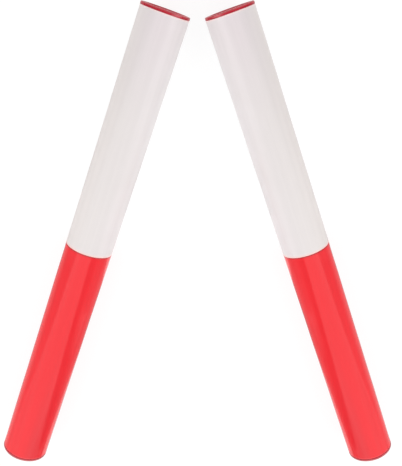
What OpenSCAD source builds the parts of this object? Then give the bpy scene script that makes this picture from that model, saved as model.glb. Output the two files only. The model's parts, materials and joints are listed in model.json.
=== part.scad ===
// A pair of round padded training sticks, lying on the floor with their tips together.
// Each stick: a plastic core tube, a foam sleeve glued on it, a white vinyl cover on the
// striking half, a red vinyl cover on the grip half and a moulded cap pressed into each end.
// Units are millimetres. +Y points to the tips, +Z up, and the floor is Z = 0.

/* [Pair] */
// Angle between each stick and the line midway between them
lean_angle = 19.3; // [5:0.1:35]
// Open space between the two tips at their nearest edges
tip_gap = 13.4; // [2:0.2:60]

/* [Stick] */
// Length of one stick over both end caps
stick_length = 520; // [400:5:800]
// Outside diameter of the covers and the caps, which are flush
stick_diameter = 50; // [44:1:70]
// Length from the tip face to the line where the two covers meet
strike_length = 256.5; // [150:0.5:350]

/* [Core tube] */
// Outside diameter of the core tube
core_diameter = 25; // [20:1:32]
// Wall thickness of the core tube
core_wall = 2; // [1.5:0.1:3]

/* [Covers] */
// Thickness of the vinyl
cover_thickness = 1; // [0.6:0.1:1.6]
// Room between the core tube and the edge of the hem that each cover turns in under its cap
hem_room = 4.5; // [1:0.5:6]
// Radius of the bend where the vinyl turns in
hem_bend = 0.8; // [0.3:0.1:1.5]

/* [End caps] */
// Thickness of the cap's disc, which shows as a lip round each end
cap_disc = 3; // [2:0.5:6]
// Radius on the rim of the cap's outer face
cap_edge = 1; // [0.4:0.1:1.8]
// Length of the hollow plug that holds the cap in the core tube
plug_length = 26; // [18:1:50]
// Wall thickness of the plug
plug_wall = 2.2; // [1.5:0.1:3]
// Number of barbs round the plug
plug_barbs = 3; // [1:1:4]
// Height of one barb above the plug
barb_height = 0.7; // [0.3:0.1:1.2]
// Length of one barb along the plug
barb_length = 3.5; // [2:0.5:4]
// Width of the flat crest on a barb
barb_crest = 0.5; // [0.2:0.1:1]
// Taper at the plug's inner end, across and along
plug_lead = 1; // [0.4:0.1:1.2]

/* [Clearances] */
// Hairline between the edges of the two covers
joint_gap = 0.3; // [0.1:0.1:0.8]
// Glue line on each side of the foam, on the radius
glue_line = 0.1; // [0.05:0.05:0.3]
// Room between the barbs as pressed in and the core's bore, on the radius
barb_room = 0.02; // [0.01:0.01:0.1]

/* [Hidden] */
$fn = 96;
cut = 1;
stick_radius = stick_diameter / 2;
core_radius = core_diameter / 2;
core_bore = core_radius - core_wall;
foam_radius = stick_radius - cover_thickness - glue_line;
foam_bore = core_radius + glue_line;
foam_end = cap_disc + cover_thickness;
hem_opening = core_radius + hem_room;
grip_length = stick_length - strike_length;
barb_radius = core_bore - barb_room;
plug_radius = barb_radius - barb_height;
plug_bore = plug_radius - plug_wall;
barb_pitch = plug_length / (plug_barbs + 1);
tip_offset = tip_gap / 2 + stick_radius * cos(lean_angle);
mid_offset = tip_offset + stick_length / 2 * sin(lean_angle);
cap_colour = [0.66, 0.07, 0.12];
foam_colour = [0.16, 0.16, 0.17];
core_colour = [0.86, 0.86, 0.83];
strike_colour = [0.9, 0.86, 0.86];
grip_colour = [0.95, 0.1, 0.12];

// Lays a stick, drawn along +Z from its tip face at Z = 0, on the floor at one side of the pair
module laid(side) {
    translate([side * mid_offset, 0, stick_radius])
        rotate([0, 0, side * lean_angle])
            translate([0, stick_length / 2, 0])
                rotate([90, 0, 0])
                    children();
}

// Puts a piece drawn for the tip end on the butt end instead
module at_butt() {
    translate([0, 0, stick_length])
        rotate([180, 0, 0])
            children();
}

// Plain tube that the whole stick is built on, from cap disc to cap disc
module core_tube() {
    color(core_colour)
        translate([0, 0, cap_disc])
            difference() {
                cylinder(h = stick_length - 2 * cap_disc, r = core_radius);
                translate([0, 0, -cut])
                    cylinder(h = stick_length - 2 * cap_disc + 2 * cut, r = core_bore);
            }
}

// Closed-cell foam between the core and the covers, ending against the hems
module foam_sleeve() {
    color(foam_colour)
        translate([0, 0, foam_end])
            difference() {
                cylinder(h = stick_length - 2 * foam_end, r = foam_radius);
                translate([0, 0, -cut])
                    cylinder(h = stick_length - 2 * foam_end + 2 * cut, r = foam_bore);
            }
}

// Half outline of a cover of a given length, with its bend and hem at the capped end
module cover_outline(length) {
    difference() {
        union() {
            translate([0, cap_disc + hem_bend])
                square([stick_radius, length - cap_disc - hem_bend]);
            translate([0, cap_disc])
                square([stick_radius - hem_bend, hem_bend]);
            translate([stick_radius - hem_bend, cap_disc + hem_bend])
                circle(r = hem_bend);
        }
        translate([-cut, foam_end])
            square([stick_radius - cover_thickness + cut, length]);
        translate([-cut, 0])
            square([hem_opening + cut, length]);
    }
}

// Vinyl cover that reaches from a cap to the joint between the two covers
module cover(length) {
    rotate_extrude()
        cover_outline(length);
}

module strike_cover() {
    color(strike_colour)
        cover(strike_length - joint_gap / 2);
}

module grip_cover() {
    color(grip_colour)
        at_butt()
            cover(grip_length - joint_gap / 2);
}

// Half outline of the cap's disc, with its outer rim rounded
module disc_outline() {
    square([stick_radius - cap_edge, cap_disc]);
    translate([0, cap_edge])
        square([stick_radius, cap_disc - cap_edge]);
    translate([stick_radius - cap_edge, cap_edge])
        circle(r = cap_edge);
}

// Half outline of the hollow plug with its barbs and tapered lead
module plug_outline() {
    difference() {
        union() {
            square([plug_radius, cap_disc + plug_length]);
            for (i = [1:plug_barbs])
                translate([plug_radius - plug_lead, cap_disc + i * barb_pitch])
                    polygon([[0, 0], [plug_lead + barb_height, 0],
                        [plug_lead + barb_height, barb_crest],
                        [plug_lead, barb_length], [0, barb_length]]);
        }
        translate([-cut, cap_disc])
            square([plug_bore + cut, plug_length + cut]);
        translate([plug_radius - plug_lead, cap_disc + plug_length])
            polygon([[0, 0], [plug_lead + cut, -plug_lead - cut], [plug_lead + cut, cut], [0, cut]]);
    }
}

// Moulded end cap, the same at the tip and the butt
module end_cap() {
    color(cap_colour)
        rotate_extrude()
            union() {
                disc_outline();
                plug_outline();
            }
}

module left_core_tube() { laid(-1) core_tube(); }
module left_foam_sleeve() { laid(-1) foam_sleeve(); }
module left_strike_cover() { laid(-1) strike_cover(); }
module left_grip_cover() { laid(-1) grip_cover(); }
module left_tip_cap() { laid(-1) end_cap(); }
module left_butt_cap() { laid(-1) at_butt() end_cap(); }
module right_core_tube() { laid(1) core_tube(); }
module right_foam_sleeve() { laid(1) foam_sleeve(); }
module right_strike_cover() { laid(1) strike_cover(); }
module right_grip_cover() { laid(1) grip_cover(); }
module right_tip_cap() { laid(1) end_cap(); }
module right_butt_cap() { laid(1) at_butt() end_cap(); }

left_core_tube();
left_foam_sleeve();
left_strike_cover();
left_grip_cover();
left_tip_cap();
left_butt_cap();
right_core_tube();
right_foam_sleeve();
right_strike_cover();
right_grip_cover();
right_tip_cap();
right_butt_cap();
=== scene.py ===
import json
import math
import bpy
import numpy as np
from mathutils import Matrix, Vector


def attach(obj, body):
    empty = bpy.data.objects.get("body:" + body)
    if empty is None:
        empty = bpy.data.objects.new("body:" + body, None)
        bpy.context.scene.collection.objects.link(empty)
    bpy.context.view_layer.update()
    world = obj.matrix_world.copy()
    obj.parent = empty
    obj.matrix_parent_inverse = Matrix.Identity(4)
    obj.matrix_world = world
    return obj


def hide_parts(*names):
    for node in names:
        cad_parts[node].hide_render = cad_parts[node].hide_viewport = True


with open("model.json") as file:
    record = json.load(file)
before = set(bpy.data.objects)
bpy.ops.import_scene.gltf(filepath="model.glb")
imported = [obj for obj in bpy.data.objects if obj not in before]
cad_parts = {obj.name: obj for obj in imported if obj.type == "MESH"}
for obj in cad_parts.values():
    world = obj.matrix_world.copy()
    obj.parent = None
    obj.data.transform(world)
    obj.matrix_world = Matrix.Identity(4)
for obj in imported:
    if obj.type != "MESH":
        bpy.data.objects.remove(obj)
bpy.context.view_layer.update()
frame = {"nodes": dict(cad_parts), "record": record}
mounts = {mount["name"]: mount for mount in frame["record"]["mounts"]}
millimetre = 0.001
samePlace = 1e-7        # metres; points nearer than this are one point
print("frame loaded:", len(frame["nodes"]), "nodes")


# one stick's line, from the mounts on its two faces: along = (butt - tip) / length, and
# outward = up x along, turned away from the other stick
def stickLine(side):
    tip = np.array(mounts[side + "_tip_face"]["pos_m"])
    butt = np.array(mounts[side + "_butt_face"]["pos_m"])
    along = (butt - tip) / np.linalg.norm(butt - tip)
    up = np.array([0.0, 0.0, 1.0])
    outward = np.cross(up, along) * (1 if tip[0] > 0 else -1)
    return {"side": side, "tip": tip, "along": along, "up": up, "outward": outward}


# a CAD node measured on its stick: nearest and furthest along the axis, least and most radius
def nodeSpan(stick, node):
    mesh = frame["nodes"][stick["side"] + "_" + node].data
    flat = np.empty(len(mesh.vertices) * 3)
    mesh.vertices.foreach_get("co", flat)
    reach = flat.reshape(-1, 3) - stick["tip"]
    along = reach @ stick["along"]
    radius = np.linalg.norm(reach - along[:, None] * stick["along"], axis=1)
    return along.min(), along.max(), radius.min(), radius.max()


# sizes of a shape by name, turned from millimetres into metres
def inMetres(shape, *names):
    return [shape[name] * millimetre for name in names]


# points of an arc: centre + size * (cos t, sin t), t from first to last in degrees
def arc(centre, size, first, last, steps):
    t = np.radians(np.linspace(first, last, steps + 1))
    return np.stack([centre[0] + size * np.cos(t), centre[1] + size * np.sin(t)], axis=1)


# points of a straight run: start + share * (end - start), in even steps no longer than the pitch
def run(start, end, pitch):
    start, end = np.array(start), np.array(end)
    steps = max(2, int(math.ceil(np.linalg.norm(end - start) / pitch)))
    return start + np.linspace(0, 1, steps + 1)[:, None] * (end - start)


# the same, but the steps grow from firstStep at each end up to the pitch, each a fixed number of
# times as long as the one before, so that a thin line of colour at an end stays thin
def easedRun(start, end, pitch, firstStep, growing):
    start, end = np.array(start), np.array(end)
    size = np.linalg.norm(end - start)
    ease = np.cumsum(np.geomspace(firstStep, pitch, growing)) / size
    steps = int(math.ceil((1 - 2 * ease[-1]) * size / pitch))
    middle = np.linspace(ease[-1], 1 - ease[-1], steps + 1)[1:-1]
    share = np.r_[0, ease, middle, 1 - ease[::-1], 1]
    return start + share[:, None] * (end - start)


# joins runs and arcs into one outline, leaving out points that repeat
def outline(*parts, closed=True):
    points = np.concatenate(parts)
    points = points[np.r_[True, np.linalg.norm(np.diff(points, axis=0), axis=1) > samePlace]]
    if closed and np.linalg.norm(points[0] - points[-1]) < samePlace:
        points = points[:-1]
    return points


# angles once round the stick from a start: even steps, and closer ones within the fine reach,
# fineReach * share ^ crowding to each side
def turnAngles(steps, start=0.0, fineReach=0.0, fineSteps=0, crowding=1.5, margin=1.15):
    offset = np.linspace(0, 2 * np.pi, steps, endpoint=False)
    if fineSteps:
        far = np.minimum(offset, 2 * np.pi - offset) > margin * fineReach
        fine = fineReach * np.linspace(0, 1, fineSteps) ** crowding
        offset = np.sort(np.r_[fine, offset[far], 2 * np.pi - fine[1:]])
    return start + offset


# surface(row, turn) = tip + s * along + r * (cos(turn) * up + sin(turn) * outward)
# where s and r are arrays over rows (along the outline) and turns (round the stick);
# what would reach below the floor lies flat on it
def revolve(stick, s, r, turns):
    ring = np.cos(turns)[:, None] * stick["up"] + np.sin(turns)[:, None] * stick["outward"]
    points = stick["tip"] + s[..., None] * stick["along"] + r[..., None] * ring[None, :, :]
    points[..., 2] = np.maximum(points[..., 2], 0)
    return points


# face corners of a grid whose turns close on themselves, and so do its rows if there are no poles
def gridCorners(rows, cols, poles):
    i, j = np.meshgrid(np.arange(rows - 1 if poles else rows), np.arange(cols), indexing="ij")
    i, j = i.ravel(), j.ravel()
    nextRow, nextCol = (i + 1) % rows, (j + 1) % cols
    quads = np.stack([i * cols + j, i * cols + nextCol, nextRow * cols + nextCol, nextRow * cols + j], 1)
    return i, j, quads


# surface map in metres: u = turn * radius, v = distance along the outline
def surfaceMap(i, j, turns, path, radius):
    step = np.linalg.norm(np.diff(path, axis=0, append=path[:1]), axis=1)
    v = np.r_[0, np.cumsum(step)]
    u = np.r_[turns, turns[0] + 2 * np.pi] * radius
    corners = [(u[j], v[i]), (u[j + 1], v[i]), (u[j + 1], v[i + 1]), (u[j], v[i + 1])]
    return np.stack([np.stack(corner, 1) for corner in corners], 1)


# a new piece of the scene from points and faces
def meshObject(name, points, faces):
    mesh = bpy.data.meshes.new(name)
    mesh.from_pydata(points.tolist(), [], faces)
    piece = bpy.data.objects.new(name, mesh)
    bpy.context.scene.collection.objects.link(piece)
    return piece


# puts a grid of points into a mesh; with poles, the first and last rows are single points
def gridMesh(name, points, turns, path, radius, poles=False):
    rows, cols = points.shape[:2]
    i, j, quads = gridCorners(rows, cols, poles)
    uv = surfaceMap(i, j, turns, path, radius)
    flat = points.reshape(-1, 3)
    if poles:
        flat = np.concatenate([points[0, :1], points[1:-1].reshape(-1, 3), points[-1, :1]])
        body = 1 + np.arange((rows - 2) * cols)
        quads = np.concatenate([np.zeros(cols, int), body, np.full(cols, len(flat) - 1)])[quads]
    atFirst, atLast = poles & (i == 0), poles & (i == rows - 2)
    faces, corners = [], []
    for chosen, pick in ((~(atFirst | atLast), [0, 1, 2, 3]), (atFirst, [0, 2, 3]), (atLast, [0, 1, 2])):
        faces += quads[chosen][:, pick].tolist()
        corners.append(uv[chosen][:, pick].reshape(-1, 2))
    fan = np.concatenate([quads[:, [0, 1, 2]], quads[:, [0, 2, 3]]])
    a, b, c = flat[fan[:, 0]], flat[fan[:, 1]], flat[fan[:, 2]]
    facesOut = np.einsum("ij,ij->i", a - flat.mean(0), np.cross(b - a, c - a)).sum() > 0
    piece = meshObject(name, flat, faces)
    layer = piece.data.uv_layers.new(name="surface")
    layer.data.foreach_set("uv", np.concatenate(corners).astype(np.float32).ravel())
    if not facesOut:
        piece.data.flip_normals()
    piece.data.shade_smooth()
    return piece


# values spread between four corners: (1-u)(1-v) a + u(1-v) b + uv c + (1-u)v d
def between(corners, steps):
    a, b, c, d = (np.array(corner, float) for corner in corners)
    u, v = np.meshgrid(np.linspace(0, 1, steps + 1), np.linspace(0, 1, steps + 1), indexing="ij")
    u, v = u.reshape(-1, 1), v.reshape(-1, 1)
    return (1 - u) * (1 - v) * a + u * (1 - v) * b + u * v * c + (1 - u) * v * d


# flat sheet between four corners
def flatSheet(name, corners, steps=8):
    i, j = np.meshgrid(np.arange(steps), np.arange(steps), indexing="ij")
    first = (i * (steps + 1) + j).ravel()
    faces = np.stack([first, first + steps + 1, first + steps + 2, first + 1], 1)
    return meshObject(name, between(corners, steps), faces.tolist())


# writes one value per point of the grid as a named attribute that a finish can read
def pointValue(piece, name, values):
    layer = piece.data.attributes.new(name, "FLOAT", "POINT")
    layer.data.foreach_set("value", values.astype(np.float32).ravel())


# soft foam under the skin: sum of size * (sin(2 pi s / pitch + lobes * turn + start) - 1)
def softWave(s, turns, waves):
    total = np.zeros(np.broadcast(s, turns).shape)
    for size, pitch, lobes, start in waves:
        phase = 2 * np.pi * s / (pitch * millimetre) + lobes * turns + start
        total = total + size * millimetre * (np.sin(phase) - 1)
    return total


# bell of a distance: exp(-(distance / reach) ^ power)
def bell(distance, reach, power=2):
    return np.exp(-(distance / reach) ** power)


# nodes of one material or of the world; a pattern is a dictionary with the marks in a metre along
# each axis, how the noise breaks up, and the band of the noise that runs from least to most
class nodeMaker:
    def __init__(self, owner):
        owner.use_nodes = True
        self.owner = owner
        self.nodes, self.links = owner.node_tree.nodes, owner.node_tree.links

    # one new node of a kind
    def add(self, kind, **settings):
        node = self.nodes.new(kind)
        for key, value in settings.items():
            setattr(node, key, value)
        return node

    # sets a number or colour on a socket, or links a pattern to it
    def feed(self, socket, value):
        if isinstance(value, (int, float)):
            socket.default_value = value
        elif isinstance(value, tuple):
            socket.default_value = (*value, 1)
        else:
            self.links.new(value, socket)

    # the place a pattern reads: the piece's own surface in metres, or its object coordinates
    def place(self, kind, scale=(1, 1, 1), turn=0.0):
        coordinates = self.add("ShaderNodeTexCoord")
        mapping = self.add("ShaderNodeMapping")
        mapping.inputs["Scale"].default_value = scale
        mapping.inputs["Rotation"].default_value = (0, 0, turn)
        self.feed(mapping.inputs["Vector"], coordinates.outputs[kind])
        return mapping.outputs["Vector"]

    # soft noise as a height
    def noise(self, pattern, kind="UV", turn=0.0):
        node = self.add("ShaderNodeTexNoise")
        settings = {"Scale": 1, "Detail": pattern.get("detail", 2), "Roughness": pattern.get("rough", 0.5),
                    "Distortion": pattern.get("distortion", 0)}
        for key, number in settings.items():
            node.inputs[key].default_value = number
        self.feed(node.inputs["Vector"], self.place(kind, pattern["marks"], turn))
        return node.outputs["Fac"]

    # rounded cells as a height: distance from the middle of each
    def cells(self, pattern, kind="UV"):
        node = self.add("ShaderNodeTexVoronoi", feature="F1")
        node.inputs["Scale"].default_value = 1
        self.feed(node.inputs["Vector"], self.place(kind, pattern["marks"]))
        return node.outputs["Distance"]

    # maps the band onto least..most and holds it there
    def spread(self, value, band, least=0.0, most=1.0):
        node = self.add("ShaderNodeMapRange")
        settings = {"From Min": band[0], "From Max": band[1], "To Min": least, "To Max": most}
        for key, number in settings.items():
            node.inputs[key].default_value = number
        self.feed(node.inputs["Value"], value)
        return node.outputs["Result"]

    # noise that comes in over its band
    def marks(self, pattern, kind="UV"):
        noise = self.noise(pattern, kind)
        return self.spread(noise, pattern["band"], pattern.get("least", 0.0), pattern.get("most", 1.0))

    # first + second, or the operation that is named
    def combine(self, first, second, operation="ADD"):
        node = self.add("ShaderNodeMath", operation=operation)
        self.feed(node.inputs[0], first)
        self.feed(node.inputs[1], second)
        return node.outputs["Value"]

    # first * (1 - share) + second * share, or first * second where the blend is MULTIPLY
    def mix(self, share, first, second, blend="MIX"):
        node = self.add("ShaderNodeMix", data_type="RGBA", blend_type=blend)
        colours = [socket for socket in node.inputs if socket.type == "RGBA"]
        self.feed(node.inputs["Factor"], share)
        self.feed(colours[0], first)
        self.feed(colours[1], second)
        return [socket for socket in node.outputs if socket.type == "RGBA"][0]

    # a value that pointValue wrote on the piece
    def attribute(self, name):
        return self.add("ShaderNodeAttribute", attribute_name=name).outputs["Fac"]

    # turns a height, which is so many millimetres where it is 1, into bumps on those under it
    def bump(self, height, distance, under=None):
        node = self.add("ShaderNodeBump")
        node.inputs["Distance"].default_value = distance * millimetre
        self.feed(node.inputs["Height"], height)
        if under is not None:
            self.feed(node.inputs["Normal"], under)
        return node.outputs["Normal"]

    # fills in the standard shader; constant numbers stay on its own sockets
    def finish(self, colour, rough, normal, **constants):
        shader = self.nodes["Principled BSDF"]
        self.feed(shader.inputs["Base Color"], colour)
        self.feed(shader.inputs["Roughness"], rough)
        self.feed(shader.inputs["Normal"], normal)
        for name, value in constants.items():
            self.feed(shader.inputs[name.replace("_", " ")], value)
        return self.owner

    # puts another shader in the standard one's place
    def surface(self, shader):
        self.nodes.remove(self.nodes["Principled BSDF"])
        self.feed(self.nodes["Material Output"].inputs["Surface"], shader)
        return self.owner


# painted light in both vinyls: the colour of the stick's outer side and the darker colour near the capped
# end are painted shade, the colour along the hem's bend is a painted highlight, and the colour at the joint
# is a painted highlight on the white and a painted shadow on the red
whiteVinylLook = {"colour": (0.79, 0.75, 0.755), "shade": (0.765, 0.726, 0.725),
                  "outerSideShade": (0.785, 0.73, 0.71), "paintedShadeNearCap": (0.77, 0.70, 0.715), "scuff": (0.72, 0.68, 0.67),
                  "hem": (0.97, 0.78, 0.76), "joint": (0.98, 0.64, 0.60),
                  "rough": 0.36, "grain": 0.012, "specular": 0.5, "tint": (1.0, 1.0, 1.0)}
redVinylLook = {"colour": (0.905, 0.028, 0.037), "shade": (0.875, 0.025, 0.033),
                "outerSideShade": (0.895, 0.027, 0.036), "paintedShadeNearCap": (0.80, 0.030, 0.040), "scuff": (0.88, 0.05, 0.05),
                "hem": (0.92, 0.085, 0.095), "joint": (0.55, 0.03, 0.04),
                "rough": 0.14, "grain": 0.006, "specular": 1.0, "tint": (1.0, 0.5, 0.5)}
# what both vinyls share; share is how much of the scuff's colour or of the grain's height shows
vinylPattern = {"blotch": {"marks": (16, 16, 1), "detail": 3, "rough": 0.55, "band": (0.32, 0.68)},
                "scuff": {"marks": (260, 16, 1), "distortion": 0.4, "band": (0.66, 0.74),
                          "share": 0.35, "rougher": 0.12},
                "patch": {"marks": (22, 22, 1), "band": (0.5, 0.66)},
                "streak": {"marks": (130, 2.5, 1), "band": (0.35, 0.65), "least": 0.965},
                "smear": {"marks": (45, 45, 1), "detail": 3, "rough": 0.6, "band": (0.3, 0.7),
                          "least": -0.03, "most": 0.04},
                "peel": {"marks": (760, 760, 1), "detail": 1, "rough": 0.4},
                "tooth": {"marks": (3600, 3600, 1), "detail": 1, "share": 0.25}}


# vinyl: the colour drifts to shade in soft blotches of 60 mm, and to painted shade on the stick's
# outer side and near the capped end where the cover's points say so, with patches of hairline
# scuffs 60 mm long and faint streaks along the rolled sheet; the hem's bend takes a painted highlight,
# and the edge at the joint a painted highlight on the white and a painted shadow on the red, in the
# same way; orange peel of 1.3 mm and a tooth of 0.3 mm break up the gloss, which smears over 20 mm
def vinylFinish(name, look):
    maker = nodeMaker(bpy.data.materials.new(name))
    pattern = vinylPattern
    colour = maker.mix(maker.marks(pattern["blotch"]), look["colour"], look["shade"])
    # painted shade: on the stick's outer side, and near the capped end
    for layer in ("outerSideShade", "paintedShadeNearCap"):
        colour = maker.mix(maker.attribute(layer), colour, look[layer])
    scuff = maker.combine(maker.marks(pattern["scuff"]), maker.marks(pattern["patch"]), "MULTIPLY")
    colour = maker.mix(maker.combine(scuff, pattern["scuff"]["share"], "MULTIPLY"), colour, look["scuff"])
    colour = maker.mix(1.0, colour, maker.marks(pattern["streak"]), "MULTIPLY")
    # painted highlight along the hem's bend; at the joint, a painted highlight on the white and a painted
    # shadow on the red
    for layer in ("hem", "joint"):
        colour = maker.mix(maker.attribute(layer), colour, look[layer])
    smear = maker.combine(maker.marks(pattern["smear"]), look["rough"])
    rough = maker.combine(smear, maker.combine(scuff, pattern["scuff"]["rougher"], "MULTIPLY"))
    peel = maker.bump(maker.noise(pattern["peel"]), look["grain"])
    tooth = maker.bump(maker.noise(pattern["tooth"]), pattern["tooth"]["share"] * look["grain"], under=peel)
    return maker.finish(colour, rough, tooth, Specular_IOR_Level=look["specular"],
                        Specular_Tint=look["tint"])


# the pale rim colour of the caps is a painted highlight
capLook = {"colour": (0.45, 0.009, 0.026), "shade": (0.40, 0.007, 0.021), "paintedRimHighlight": (0.62, 0.20, 0.20),
           "rough": 0.28, "specular": 0.28, "grain": 0.004,
           "flow": {"marks": (60, 60, 60), "detail": 3, "rough": 0.6, "distortion": 0.8,
                    "band": (0.35, 0.65)},
           "gloss": {"marks": (240, 240, 240), "band": (0.3, 0.7), "least": -0.04, "most": 0.06},
           "spark": {"marks": (2100, 2100, 2100)},
           "patch": {"marks": (80, 80, 80), "band": (0.3, 0.6), "least": 0.55}}


# moulded cap: crimson with slow flow marks of 15 mm, a spark-eroded texture of 0.5 mm and
# gloss that comes and goes over 4 mm; a painted highlight makes the rim paler, in patches of 12 mm
def capFinish(name, look):
    maker = nodeMaker(bpy.data.materials.new(name))
    paintedRimHighlight = maker.combine(maker.attribute("rim"), maker.marks(look["patch"], "Object"), "MULTIPLY")
    colour = maker.mix(maker.marks(look["flow"], "Object"), look["colour"], look["shade"])
    colour = maker.mix(paintedRimHighlight, colour, look["paintedRimHighlight"])
    rough = maker.combine(maker.marks(look["gloss"], "Object"), look["rough"])
    spark = maker.bump(maker.noise(look["spark"], "Object"), look["grain"])
    return maker.finish(colour, rough, spark, Specular_IOR_Level=look["specular"])


foamLook = {"colour": (0.035, 0.035, 0.038), "shade": (0.02, 0.02, 0.022), "rough": 0.85, "depth": 0.15,
            "cell": {"marks": (1100, 1100, 1100), "band": (0.15, 0.6)}}


# closed-cell foam: rounded cells of 0.9 mm with dark walls between them
def foamFinish(name, look):
    maker = nodeMaker(bpy.data.materials.new(name))
    cell = maker.cells(look["cell"], "Object")
    colour = maker.mix(maker.spread(cell, look["cell"]["band"]), look["colour"], look["shade"])
    return maker.finish(colour, look["rough"], maker.bump(cell, look["depth"]))


coreLook = {"colour": (0.72, 0.72, 0.68), "shade": (0.64, 0.64, 0.6), "rough": 0.42, "smoother": 0.05,
            "rougher": 0.08, "grain": 0.01, "line": {"marks": (900, 12, 900), "band": (0.3, 0.7)}}


# extruded core tube: draw lines along the tube, each about 1 mm wide and 80 mm long
def coreFinish(name, look, stick):
    maker = nodeMaker(bpy.data.materials.new(name))
    lean = math.atan2(stick["along"][0], -stick["along"][1])
    line, band = maker.noise(look["line"], "Object", -lean), look["line"]["band"]
    colour = maker.mix(maker.spread(line, band), look["colour"], look["shade"])
    rough = maker.spread(line, band, look["rough"] - look["smoother"], look["rough"] + look["rougher"])
    return maker.finish(colour, rough, maker.bump(line, look["grain"]))


whiteVinyl = vinylFinish("whiteVinyl", whiteVinylLook)
redVinyl = vinylFinish("redVinyl", redVinylLook)
crimsonPlastic = capFinish("crimsonPlastic", capLook)
blackFoam = foamFinish("blackFoam", foamLook)
print("finishes made")


# rides the piece on the sticks' body, in place of its CAD node
def finishPiece(piece, node, finish):
    piece.data.materials.append(finish)
    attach(piece, "root")
    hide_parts(node)
    return piece


# sizes in millimetres, and the seam's place in degrees from the top, away from the other stick;
# the pucker beside the seam is in seam widths, and each wave is its size and pitch, its lobes
# round the stick and its start
coverShape = {"turnSteps": 168, "rowPitch": 4.0, "firstStep": 0.12, "growing": 9, "innerPitch": 24.0,
              "hemPitch": 1.2, "edgePitch": 1.0, "edgeRound": 0.3, "edgeSteps": 4,
              "hemBend": 0.8, "bendSteps": 8,
              "seamAngle": 118, "seamSteps": 13, "seamReach": 3.2, "seamWidth": 0.45, "seamDepth": 0.35,
              "pucker": 0.07, "puckerPlace": 2.6, "puckerWidth": 1.2, "bead": 0.15, "beadReach": 1.2,
              "settle": 6.0, "notches": 22, "notchShare": 0.4, "notchDepth": 2.3, "notchReach": 3.0,
              "waves": ((0.03, 83, 2, 0.4), (0.02, 47, -3, 1.9), (0.03, 121, 1, 2.6))}
# the painted highlight and painted shadow lines reach this many millimetres from the joint and from
# the hem's bend, and the painted shade so far from the cap, and to each side of its middle in degrees from
# the top
coverTints = {"strike_cover": {"joint": 1.5, "hem": 0.6, "paintedShadeNearCap": 70.0, "paintedShadeMiddle": 0.0, "paintedShadeSide": 50.0},
              "grip_cover": {"joint": 1.1, "hem": 0.6, "paintedShadeNearCap": 110.0, "paintedShadeMiddle": -24.0, "paintedShadeSide": 18.0}}


# half section of a cover: over the wall from the joint edge, round the bend, in along the hem
# and back inside; x is the distance from the capped end, y is the radius
def coverSection(length, hem, inner, outer, opening):
    edge, bend, pitch, firstStep = inMetres(coverShape, "edgeRound", "hemBend", "rowPitch", "firstStep")
    innerPitch, hemPitch, edgePitch = inMetres(coverShape, "innerPitch", "hemPitch", "edgePitch")
    edgeSteps, bendSteps = coverShape["edgeSteps"], coverShape["bendSteps"]
    return outline(
        arc((length - edge, outer - edge), edge, 0, 90, edgeSteps),
        easedRun((length - edge, outer), (bend, outer), pitch, firstStep, coverShape["growing"]),
        arc((bend, outer - bend), bend, 90, 180, bendSteps),
        run((0, outer - bend), (0, opening), hemPitch),
        run((0, opening), (hem, opening), edgePitch),
        run((hem, opening), (hem, inner), hemPitch),
        run((hem, inner), (length - edge, inner), innerPitch),
        arc((length - edge, inner + edge), edge, -90, 0, edgeSteps))


# groove of the welded seam: pucker * bell at a few widths off - depth * bell of the distance off
def seamGroove(turns, seam, radius):
    width, depth, pucker = inMetres(coverShape, "seamWidth", "seamDepth", "pucker")
    off = np.abs(np.angle(np.exp(1j * (turns - seam)))) * radius
    beside = bell(off - coverShape["puckerPlace"] * width, coverShape["puckerWidth"] * width)
    return pucker * beside - depth * bell(off, width)


# notches that let the hem turn in: depth * teeth round the opening, each (share - distance from
# its middle) / share, fading over their reach
def hemNotches(x, y, turns, hem, opening):
    depth, reach = inMetres(coverShape, "notchDepth", "notchReach")
    share = coverShape["notchShare"]
    onHem = np.clip(1 - (y - opening) / reach, 0, 1) * (x <= hem + samePlace)
    teeth = np.abs(np.mod(turns * coverShape["notches"] / (2 * np.pi), 1) - 0.5) * 2
    return onHem * depth * np.clip((teeth - (1 - share)) / share, 0, 1)


# what the finish reads on a cover, all of it painted light: the painted highlight and shadow at the joint
# and the painted highlight along the hem = bells of the distance from those edges, the painted shade near
# the cap = bell along the stick * bell round it, and the painted shade of the outer side = half of
# 1 + sin(turn), most on the outer side
def tintCover(piece, node, x, fromJoint, turns, onWall):
    tints = coverTints[node]
    joint, hem, paintedShadeNearCap = inMetres(tints, "joint", "hem", "paintedShadeNearCap")
    fromBend = np.maximum(x - coverShape["hemBend"] * millimetre, 0)
    across = np.degrees(np.angle(np.exp(1j * turns))) - tints["paintedShadeMiddle"]
    # painted highlight on the white and painted shadow on the red, along the joint
    pointValue(piece, "joint", onWall * bell(fromJoint, joint) + 0 * turns)
    # painted highlight along the hem's bend
    pointValue(piece, "hem", onWall * bell(fromBend, hem) + 0 * turns)
    pointValue(piece, "paintedShadeNearCap", onWall * bell(x, paintedShadeNearCap) * bell(across, tints["paintedShadeSide"]))
    pointValue(piece, "outerSideShade", onWall * (0.5 + 0.5 * np.sin(turns)) + 0 * x)


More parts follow.
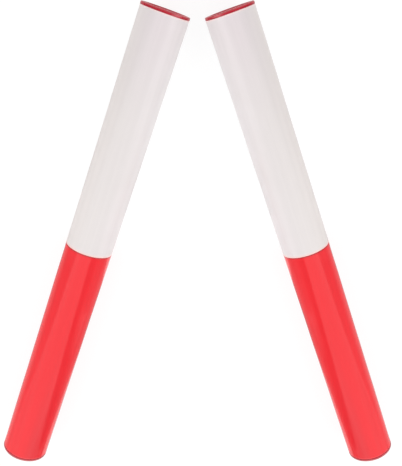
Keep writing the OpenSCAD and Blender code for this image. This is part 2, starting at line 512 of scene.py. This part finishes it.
# radius = section radius + hem notches + on the outer wall only, as onWall goes from 0 at the
# middle of the wall to 1 on its outside, foam waves + seam groove + a bead at the white edge
def makeCover(stick, node, finish, atButt):
    shape = coverShape
    near, far, opening, outer = nodeSpan(stick, node)
    capEnd, jointEnd = (far, near) if atButt else (near, far)
    foamNear, foamFar = nodeSpan(stick, "foam_sleeve")[:2]
    wall = abs((foamFar if atButt else foamNear) - capEnd)
    inner = outer - wall
    length = abs(jointEnd - capEnd)
    path = coverSection(length, wall, inner, outer, opening)
    seam = math.radians(shape["seamAngle"])
    reach, settle, bead, beadReach = inMetres(shape, "seamReach", "settle", "bead", "beadReach")
    turns = turnAngles(shape["turnSteps"], seam, reach / outer, shape["seamSteps"])
    x, y = path[:, :1], path[:, 1:]
    onWall = np.clip((y - inner) / (0.5 * wall) - 1, 0, 1)
    fromJoint = length - x
    calm = np.clip(fromJoint / settle, 0, 1) * np.clip(x / settle, 0, 1)
    skin = softWave(x, turns, shape["waves"]) * calm + seamGroove(turns, seam, outer)
    if not atButt:
        skin = skin + bead * bell(fromJoint, beadReach)
    s = capEnd + (1 if jointEnd > capEnd else -1) * x + 0 * turns
    name = stick["side"] + "_" + node
    points = revolve(stick, s, y + onWall * skin + hemNotches(x, y, turns, wall, opening), turns)
    piece = gridMesh(name + "_vinyl", points, turns, path, outer)
    tintCover(piece, node, x, fromJoint, turns, onWall)
    return finishPiece(piece, name, finish)


# sizes in millimetres; the face is lowered inside its rim, with a raised ring and a gate mark
capShape = {"turnSteps": 192, "facePitch": 0.6, "faceMiddle": 0.3, "faceMargin": 0.1, "rimPitch": 0.5,
            "backPitch": 2.0, "borePitch": 3.0, "endPitch": 1.2, "edge": 1.0, "edgeSteps": 8,
            "backEdge": 0.3, "plugFillet": 0.5, "plugEnd": 0.4, "filletSteps": 4,
            "boreFillet": 1.0, "boreSteps": 5,
            "dish": 1.2, "dishRadius": 21.0, "dishSlope": 0.8, "ring": 0.5, "ringRadius": 11.0,
            "ringWidth": 0.8, "gateDepth": 0.4, "gateRadius": 2.2, "barbs": 3, "barbRoom": 0.02,
            "barb": 0.7, "barbLength": 3.5, "barbCrest": 0.5, "plugWall": 2.2, "lead": 1.0}
# how much of the painted highlight the rim has, and how many millimetres it reaches
rimWear = {"tip_cap": {"share": 0.4, "reach": 1.3}, "butt_cap": {"share": 1.0, "reach": 2.2}}


# lowered face over the radius: dish * smooth step down inside its rim, less a bell-shaped ring,
# plus a bell-shaped gate mark in the middle
def faceDepth(radius):
    dish, dishRadius, slope = inMetres(capShape, "dish", "dishRadius", "dishSlope")
    ring, ringRadius, ringWidth = inMetres(capShape, "ring", "ringRadius", "ringWidth")
    gate, gateRadius = inMetres(capShape, "gateDepth", "gateRadius")
    step = np.clip((dishRadius - radius) / slope, 0, 1)
    return (dish * step * step * (3 - 2 * step) - ring * bell(radius - ringRadius, ringWidth)
            + gate * bell(radius, gateRadius, power=4))


# half section of a cap: from the middle of its face over the rim and the back of the disc to the
# plug with its barbs, round the plug's end and back up its bore; x is the distance from the
# face, y is the radius
def capSection(disc, depth, radius, bore):
    edge, back, fillet, plugEnd, boreFillet = inMetres(capShape, "edge", "backEdge", "plugFillet",
                                                       "plugEnd", "boreFillet")
    facePitch, faceMiddle, faceMargin = inMetres(capShape, "facePitch", "faceMiddle", "faceMargin")
    rimPitch, backPitch, borePitch, endPitch = inMetres(capShape, "rimPitch", "backPitch",
                                                        "borePitch", "endPitch")
    barbRoom, barb, barbLength, crest = inMetres(capShape, "barbRoom", "barb", "barbLength", "barbCrest")
    wall, lead = inMetres(capShape, "plugWall", "lead")
    edgeSteps, filletSteps, boreSteps = (
        capShape[key] for key in ("edgeSteps", "filletSteps", "boreSteps"))
    crown = bore - barbRoom
    plug = crown - barb
    hollow = plug - wall
    across = np.r_[0, np.arange(faceMiddle, radius - edge - faceMargin, facePitch)]
    pitch = (depth - disc) / (capShape["barbs"] + 1)
    barbs = [np.array([(start, plug), (start, crown), (start + crest, crown), (start + barbLength, plug)])
             for start in disc + pitch * np.arange(1, capShape["barbs"] + 1)]
    return outline(
        np.stack([faceDepth(across), across], axis=1),
        arc((edge, radius - edge), edge, 180, 90, edgeSteps),
        run((edge, radius), (disc - back, radius), rimPitch),
        arc((disc - back, radius - back), back, 90, 0, filletSteps),
        run((disc, radius - back), (disc, plug + fillet), backPitch),
        arc((disc + fillet, plug + fillet), fillet, 180, 270, filletSteps),
        *barbs,
        [(depth - lead, plug), (depth, plug - lead)],
        arc((depth - plugEnd, hollow + plugEnd), plugEnd, 0, -90, filletSteps),
        run((depth - plugEnd, hollow), (disc + boreFillet, hollow), borePitch),
        arc((disc + boreFillet, hollow - boreFillet), boreFillet, 90, 180, boreSteps),
        run((disc, hollow - boreFillet), (disc, 0), endPitch), closed=False)


# the cap's section turned once round the stick's line; the rim's painted highlight = share * bell,
# to the fourth power, of the distance from the face's edge
def makeCap(stick, node, finish, atButt):
    near, far, _, radius = nodeSpan(stick, node)
    faceEnd, plugEnd = (far, near) if atButt else (near, far)
    coverNear, coverFar = nodeSpan(stick, "grip_cover" if atButt else "strike_cover")[:2]
    disc = abs((coverFar if atButt else coverNear) - faceEnd)
    bore = nodeSpan(stick, "core_tube")[2]
    path = capSection(disc, abs(plugEnd - faceEnd), radius, bore)
    turns = turnAngles(capShape["turnSteps"])
    s = faceEnd + (-1 if atButt else 1) * path[:, :1] + 0 * turns
    points = revolve(stick, s, path[:, 1:] + 0 * turns, turns)
    name = stick["side"] + "_" + node
    piece = gridMesh(name + "_moulded", points, turns, path, radius, poles=True)
    fromEdge = np.hypot(path[:, :1], radius - path[:, 1:])
    highlightSpread = rimWear[node]
    rim = highlightSpread["share"] * bell(fromEdge, highlightSpread["reach"] * millimetre, power=4) + 0 * turns
    pointValue(piece, "rim", np.r_[rim[0, 0], rim[1:-1].ravel(), rim[-1, 0]])
    return finishPiece(piece, name, finish)


# sizes in millimetres, and waves as for the covers
foamShape = {"turnSteps": 96, "rowPitch": 8.0, "borePitch": 24.0, "endPitch": 1.5, "edge": 0.6,
             "edgeSteps": 4, "waves": ((0.03, 70, 2, 0.2), (0.02, 31, -5, 1.1))}


# a plain tube with eased edges; radius = section radius + outside * waves, where outside is the
# fourth power of the share of the way from the bore to the skin
def makeFoam(stick, finish):
    near, far, bore, radius = nodeSpan(stick, "foam_sleeve")
    edge, pitch, borePitch, endPitch = inMetres(foamShape, "edge", "rowPitch", "borePitch", "endPitch")
    edgeSteps = foamShape["edgeSteps"]
    length = far - near
    path = outline(
        arc((edge, radius - edge), edge, 180, 90, edgeSteps),
        run((edge, radius), (length - edge, radius), pitch),
        arc((length - edge, radius - edge), edge, 90, 0, edgeSteps),
        run((length, radius - edge), (length, bore), endPitch),
        run((length, bore), (0, bore), borePitch),
        run((0, bore), (0, radius - edge), endPitch))
    turns = turnAngles(foamShape["turnSteps"])
    x, y = path[:, :1], path[:, 1:]
    outside = np.clip((y - bore) / (radius - bore), 0, 1) ** 4
    r = y + outside * softWave(x, turns, foamShape["waves"])
    name = stick["side"] + "_foam_sleeve"
    points = revolve(stick, near + x + 0 * turns, r, turns)
    piece = gridMesh(name + "_cells", points, turns, path, radius)
    return finishPiece(piece, name, finish)


caps = {}
for side in ("left", "right"):
    stick = stickLine(side)
    makeCover(stick, "strike_cover", whiteVinyl, atButt=False)
    makeCover(stick, "grip_cover", redVinyl, atButt=True)
    caps[side] = [makeCap(stick, "tip_cap", crimsonPlastic, atButt=False),
                  makeCap(stick, "butt_cap", crimsonPlastic, atButt=True)]
    makeFoam(stick, blackFoam)
    tube = frame["nodes"][side + "_core_tube"]
    tube.data.materials.clear()
    tube.data.materials.append(coreFinish(side + "CoreTube", coreLook, stick))
    print(side, "stick made")

# the camera looks down on the pair from over the white halves; tilt is in degrees off straight
# down, and shift is the small step aside that the pair's place in the picture needs
cameraView = {"place": (0.0, 0.2589, 0.7445), "tilt": 18.404, "lens": 55.452, "sensor": 36,
              "shift": 0.0075, "clip": (0.01, 100)}
camera = bpy.data.objects.new("camera", bpy.data.cameras.new("camera"))
bpy.context.scene.collection.objects.link(camera)
camera.location = cameraView["place"]
camera.rotation_euler = (-math.radians(cameraView["tilt"]), 0, 0)
camera.data.lens = cameraView["lens"]
camera.data.sensor_width = cameraView["sensor"]
camera.data.shift_x = cameraView["shift"]
camera.data.clip_start, camera.data.clip_end = cameraView["clip"]
bpy.context.scene.camera = camera


# 1 where a ray comes from the camera, or from a reflection or a clear surface, and 0 elsewhere
def seenRay(maker):
    path = maker.add("ShaderNodeLightPath")
    seen = maker.combine(path.outputs["Is Camera Ray"], path.outputs["Is Glossy Ray"], "MAXIMUM")
    return maker.combine(seen, path.outputs["Is Transmission Ray"], "MAXIMUM")


# the glow rises to full from the near to the far distance from the sticks, in metres
floorLook = {"size": 8.0, "shaded": (0.19, 0.19, 0.19), "bounce": (0.93, 0.93, 0.93), "glow": 0.86,
             "band": (0.7, 1.6)}


# paper white with the sticks' shadow on it where it is seen = glow + shaded white, and plain
# white paper where light only bounces off it
def makeFloor(look):
    half = look["size"] / 2
    floor = flatSheet("floor", [(-half, -half, 0), (half, -half, 0), (half, half, 0), (-half, half, 0)])
    maker = nodeMaker(bpy.data.materials.new("floorPaper"))
    shaded, bounce = maker.add("ShaderNodeBsdfDiffuse"), maker.add("ShaderNodeBsdfDiffuse")
    glow, shown = maker.add("ShaderNodeEmission"), maker.add("ShaderNodeAddShader")
    both = maker.add("ShaderNodeMixShader")
    distance = maker.add("ShaderNodeVectorMath", operation="LENGTH")
    maker.feed(distance.inputs[0], maker.place("Object"))
    maker.feed(shaded.inputs["Color"], look["shaded"])
    maker.feed(bounce.inputs["Color"], look["bounce"])
    maker.feed(glow.inputs["Strength"], maker.spread(distance.outputs["Value"], look["band"], look["glow"]))
    maker.feed(shown.inputs[0], shaded.outputs[0])
    maker.feed(shown.inputs[1], glow.outputs[0])
    maker.feed(both.inputs[0], seenRay(maker))
    maker.feed(both.inputs[1], bounce.outputs[0])
    maker.feed(both.inputs[2], shown.outputs[0])
    floor.data.materials.append(maker.surface(both.outputs[0]))


# grey cards that only the gloss sees, as in a studio: they draw the long streaks on the vinyl.
# A card stands at x with corners (y, z), or lies at z as a mat with corners (x, y), and is as
# bright at each corner as its grey there. These are between the sticks
middleCards = {"centre": {"x": 0.0, "greys": (0.15, 0.15, 0.15, 0.15),
                          "corners": ((-0.105, 0.14), (-0.52, 0.115), (-0.52, 0.125), (-0.17, 0.42))},
               "footNear": {"x": 0.0, "greys": (0.35, 0.4, 0.25, 0.2),
                            "corners": ((-0.085, 0.005), (-0.19, 0.005), (-0.19, 0.135), (-0.105, 0.14))},
               "footMiddle": {"x": 0.0, "greys": (0.75, 0.3, 0.2, 0.5),
                              "corners": ((-0.19, 0.005), (-0.28, 0.005), (-0.28, 0.13), (-0.19, 0.135))},
               "footFar": {"x": 0.0, "greys": (0.25, 0.0, 0.0, 0.1),
                           "corners": ((-0.28, 0.005), (-0.52, 0.005), (-0.52, 0.115), (-0.28, 0.13))},
               "end": {"x": 0.0, "greys": (0.7, 0.5, 0.5, 0.8),
                       "corners": ((-0.42, 0.21), (-0.521, 0.121), (-0.80, 0.121), (-0.80, 0.50))},
               "middleMat": {"z": 0.0005, "greys": (0.1, 0.1, 0.5, 0.5),
                             "corners": ((-0.125, -0.5), (0.125, -0.5), (0.125, -0.05), (-0.125, -0.05))}}
# and these are there twice, out to the right and mirrored to the left
sideCards = {"outer": {"x": 0.6, "greys": (0.25, 0.4, 0.5, 0.35),
                       "corners": ((0.0, 0.0), (-0.305, 0.0), (-0.19, 0.31), (-0.055, 0.49))},
             "far": {"x": 0.601, "greys": (0.6, 0.85, 0.85, 0.75),
                     "corners": ((-0.29, 0.0), (-0.80, 0.0), (-0.80, 0.30), (-0.25, 0.30))},
             "tip": {"x": 0.6, "greys": (0.0, 0.3, 0.3, 0.0),
                     "corners": ((0.60, 0.0), (0.20, 0.0), (0.20, 0.40), (0.60, 0.60))},
             "sideMat": {"z": 0.0005, "greys": (1.6, 0.2, 0.0, 0.55),
                         "corners": ((0.125, -0.9), (0.7, -0.9), (0.7, 0.02), (0.125, 0.02))},
             "paleMat": {"z": 0.0005, "greys": (0.7, 0.9, 0.2, 0.2),
                         "corners": ((0.125, 0.021), (0.7, 0.021), (0.7, 0.6), (0.125, 0.6))},
             "tipMat": {"z": 0.0005, "greys": (0.72, 0.72, 0.68, 0.68),
                        "corners": ((0.045, 0.021), (0.125, 0.021), (0.125, 0.3), (0.045, 0.3))}}


# one card, on the right where side is 1 and on the left where it is -1
def makeCard(name, look, side=1, steps=6):
    if "x" in look:
        corners = [(side * look["x"], y, z) for y, z in look["corners"]]
    else:
        corners = [(side * x, y, look["z"]) for x, y in look["corners"]]
    card = flatSheet(name, corners, steps)
    pointValue(card, "grey", between(look["greys"], steps))
    maker = nodeMaker(bpy.data.materials.new(name + "Cloth"))
    glow = maker.add("ShaderNodeEmission")
    maker.feed(glow.inputs["Strength"], maker.attribute("grey"))
    card.data.materials.append(maker.surface(glow.outputs[0]))
    card.visible_camera = card.visible_diffuse = False
    card.visible_shadow = card.visible_transmission = False


worldLook = {"colour": (1, 1, 1), "light": 0.6}


# white where it is seen, softer where it lights the sticks: light + (1 - light) * seen
def makeWorld(look):
    bpy.context.scene.world = bpy.data.worlds.new("studio")
    maker = nodeMaker(bpy.context.scene.world)
    strength = maker.combine(maker.combine(seenRay(maker), 1 - look["light"], "MULTIPLY"), look["light"])
    maker.feed(maker.nodes["Background"].inputs["Strength"], strength)
    maker.feed(maker.nodes["Background"].inputs["Color"], look["colour"])


# soft square lamps; a lamp off the middle has its mirror image on the other side
lamps = {"front": {"place": (0.0, -1.6, 0.7), "size": 0.8, "power": 4.8},
         "high": {"place": (0.8, 0.0, 0.8), "size": 0.6, "power": 3.2},
         "low": {"place": (1.1, -0.8, 0.3), "size": 0.8, "power": 3.6},
         "back": {"place": (1.0, 0.8, 0.4), "size": 0.8, "power": 0.65}}
# these light the caps alone: one from behind the tips, and a glint on each tip cap
capLamps = {"behind": {"place": (0.0, 1.3, 0.22), "size": 0.8, "power": 2.6},
            "glint": {"place": (0.5, 0.06, 0.33), "size": 0.45, "power": 3.4}}


# one lamp, turned to look at the middle of the sticks
def makeLamp(name, look, mirrored=False):
    x, y, z = look["place"]
    place = (-x if mirrored else x, y, z)
    lamp = bpy.data.lights.new(name, "AREA")
    lamp.shape = "SQUARE"
    lamp.size = look["size"]
    lamp.energy = look["power"]
    holder = bpy.data.objects.new(name, lamp)
    bpy.context.scene.collection.objects.link(holder)
    holder.location = place
    holder.rotation_euler = Vector(place).to_track_quat("Z", "Y").to_euler()
    holder.visible_camera = holder.visible_glossy = False
    return holder


# lets a lamp reach only the pieces given
def keepFor(lamp, pieces):
    lit = bpy.data.collections.new(lamp.name + "Only")
    for piece in pieces:
        lit.objects.link(piece)
    lamp.light_linking.receiver_collection = lit


makeFloor(floorLook)
for name, look in middleCards.items():
    makeCard(name, look)
for name, look in sideCards.items():
    makeCard(name + "Right", look)
    makeCard(name + "Left", look, side=-1)
makeWorld(worldLook)
for name, look in lamps.items():
    makeLamp(name, look)
    if look["place"][0] > 0:
        makeLamp(name + "Mirrored", look, mirrored=True)
keepFor(makeLamp("behind", capLamps["behind"]), caps["left"] + caps["right"])
for side in ("left", "right"):
    glint = makeLamp(side + "Glint", capLamps["glint"], mirrored=side == "right")
    glint.visible_glossy, glint.visible_diffuse = True, False
    keepFor(glint, caps[side][:1])
bpy.context.scene.view_settings.view_transform = "Standard"
print("studio made")
